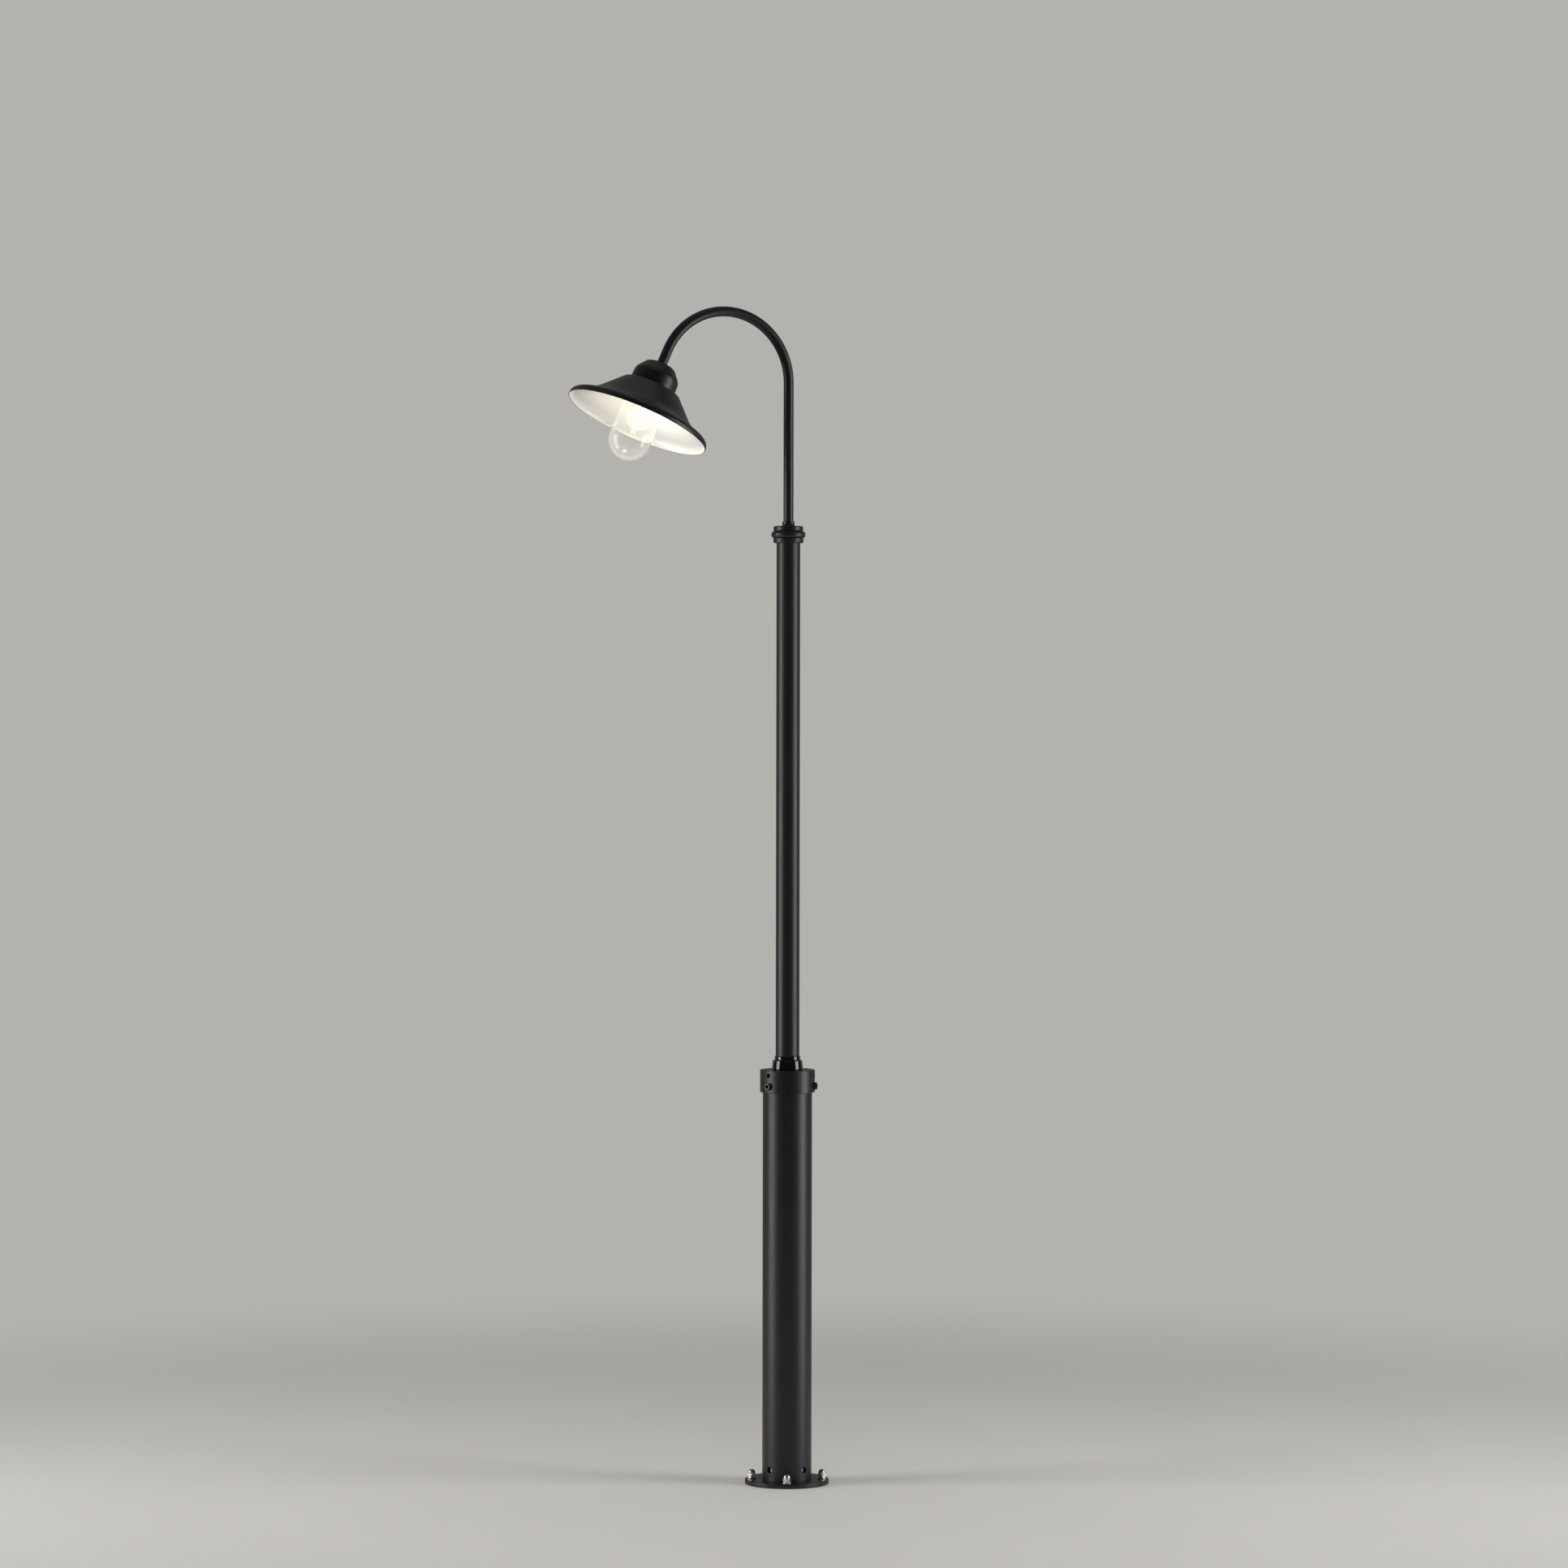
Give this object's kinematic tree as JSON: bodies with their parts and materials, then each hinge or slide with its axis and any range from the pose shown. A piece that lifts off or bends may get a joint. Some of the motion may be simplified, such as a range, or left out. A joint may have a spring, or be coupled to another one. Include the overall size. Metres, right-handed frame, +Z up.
{
  "type": "street lamp post",
  "caption": "Arched outdoor lamp post: bolted base tube, telescopic swivelling mast, gooseneck arm and a tilted conical metal shade over a clear glass globe.",
  "frame": {"origin": "centre of the base plate's underside, on the pole's axis", "axes": "+Z up along the pole; the arm arches towards -X in the XZ plane; +Y completes the frame"},
  "size_m": [0.4882, 0.2606, 2.0965],
  "materials": {
    "powder_coated_steel": "fine-textured matt black polyester powder coat on steel",
    "powder_coated_casting": "fine-textured matt black powder coat on cast or spun aluminium",
    "shade_sheet": "spun aluminium, matt black outside and white enamelled inside",
    "gloss_black_polymer": "glossy black moulded polyamide",
    "matt_black_polymer": "black moulded thermoplastic",
    "zinc_plated_steel": "bright zinc-plated or stainless hardware",
    "black_oxide_steel": "black oxide socket screws",
    "nickel_plated_brass": "nickel-plated brass screw shell",
    "brass": "plain brass",
    "clear_glass": "clear blown glass",
    "silicone": "grey silicone rubber",
    "led_filament": "phosphor-coated LED filament, lit",
    "white_ceramic": "white moulded terminal block"
  },
  "bodies": {
    "base": {"base_plate": "powder_coated_steel", "base_ring": "powder_coated_steel", "base_lock_screws": "zinc_plated_steel", "anchor_washers": "zinc_plated_steel", "anchor_nuts": "zinc_plated_steel", "lower_pole": "powder_coated_steel", "pole_collar": "powder_coated_casting", "collar_clamp_screws": "black_oxide_steel", "collar_grub_screws": "black_oxide_steel"},
    "bush": {"swivel_bush": "gloss_black_polymer", "gland_nut": "gloss_black_polymer"},
    "mast": {"upper_pole": "powder_coated_steel", "mast_guide": "matt_black_polymer", "finial_collar": "powder_coated_casting", "finial_screw": "black_oxide_steel", "arm_tube": "powder_coated_steel", "arm_foot_nut": "zinc_plated_steel", "arm_head_nut": "zinc_plated_steel", "lamp_cap": "powder_coated_casting", "shade": "shade_sheet", "shade_ring": "matt_black_polymer", "globe_gasket": "silicone", "lampholder_bracket": "zinc_plated_steel", "bracket_screws": "zinc_plated_steel", "earth_screw": "brass", "lampholder_nipple": "zinc_plated_steel", "nipple_nut": "zinc_plated_steel", "lampholder_shell": "matt_black_polymer", "lampholder_thread": "nickel_plated_brass", "lampholder_contact": "brass", "terminal_block": "white_ceramic"},
    "globe": {"glass_globe": "clear_glass"},
    "bulb": {"bulb_cap": "nickel_plated_brass", "bulb_glass": "clear_glass", "bulb_stem": "clear_glass", "bulb_filaments": "led_filament"}
  },
  "joints": [
    {"name": "mast_swivel", "type": "hinge", "parent": "base", "child": "bush", "pos_m": [0, 0, 0.738], "axis": [0, 0, 1], "range_deg": [-175, 175]},
    {"name": "mast_height", "type": "slide", "parent": "bush", "child": "mast", "axis": [0, 0, 1], "range_m": [-0.4, 0.08]},
    {"name": "globe_removal", "type": "slide", "parent": "mast", "child": "globe", "axis": [-0.4147, 0, -0.91], "range_m": [0, 0.13]},
    {"name": "bulb_unscrew", "type": "slide", "parent": "mast", "child": "bulb", "axis": [-0.4147, 0, -0.91], "range_m": [0, 0.0109]}
  ]
}
